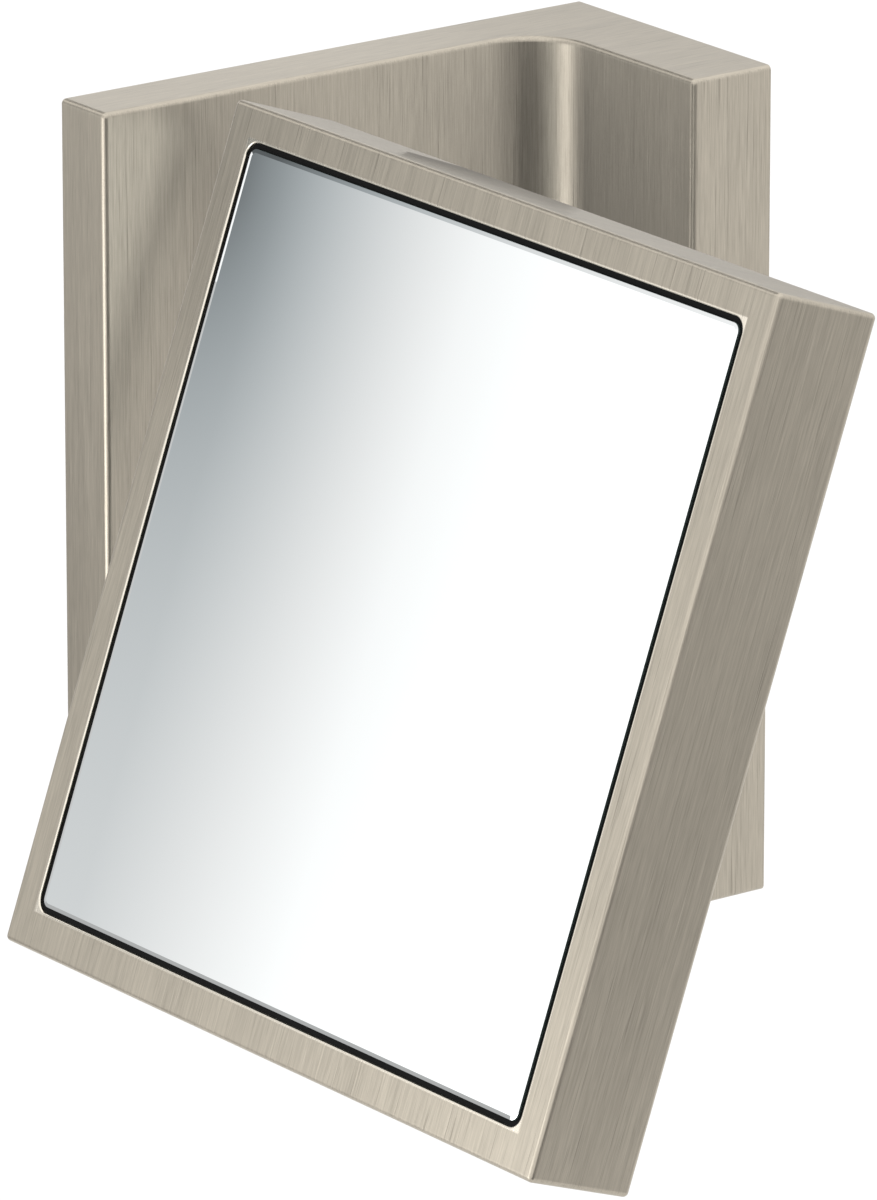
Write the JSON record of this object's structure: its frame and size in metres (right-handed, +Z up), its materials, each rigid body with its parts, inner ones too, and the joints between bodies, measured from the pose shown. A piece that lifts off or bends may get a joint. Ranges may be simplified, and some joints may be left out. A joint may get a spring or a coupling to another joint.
{
  "type": "wall-mounted shaving mirror",
  "caption": "Square mirror in a deep brushed-metal frame that tilts on a friction hinge at the end of an L-shaped wall bracket.",
  "frame": {"origin": "midway between the two wall screws, on the wall", "axes": "+Z up; +Y into the wall, so the mirror faces -Y; +X along the wall, from the arm towards the mirror, parallel to the hinge axis"},
  "size_m": [0.177, 0.1438, 0.16],
  "materials": {
    "brushed_nickel": "brushed nickel, warm grey, fine straight grain",
    "zinc_sheet": "zinc-plated steel sheet",
    "black_steel": "black oxide",
    "stainless_steel": "turned stainless steel",
    "spring_steel": "oiled spring steel",
    "bright_steel": "bright plated steel",
    "acetal": "natural acetal",
    "bronze": "sintered bronze",
    "cast_alloy": "as-cast alloy, tumbled",
    "silvered_glass": "silvered glass, polished bevel",
    "black_seal": "matt black",
    "foam_tape": "closed-cell foam tape",
    "carrier_sheet": "mill-finish sheet"
  },
  "bodies": {
    "bracket": {"bracket_body": "brushed_nickel", "wall_mount_plate": "zinc_sheet", "mount_locking_screws": "black_steel", "axle_locking_screw": "black_steel", "hinge_axle": "stainless_steel", "tilt_stop": "stainless_steel", "disc_springs": "spring_steel", "thrust_washer": "stainless_steel", "lock_nut": "bright_steel"},
    "mirror_head": {"outer_friction_washer": "acetal", "inner_friction_washer": "acetal", "axle_bushes": "bronze", "hinge_block": "cast_alloy", "hinge_block_screws": "bright_steel", "head_frame": "brushed_nickel", "mirror_glass": "silvered_glass", "glass_seal": "black_seal", "adhesive_strips": "foam_tape", "mirror_carrier": "carrier_sheet", "carrier_screws": "bright_steel", "back_cover": "brushed_nickel", "back_cover_screws": "bright_steel"}
  },
  "joints": [
    {"name": "mirror_tilt", "type": "hinge", "parent": "bracket", "child": "mirror_head", "pos_m": [-0.0125, -0.1065, 0], "axis": [1, 0, 0], "range_deg": [-25.5, 64.5]}
  ]
}
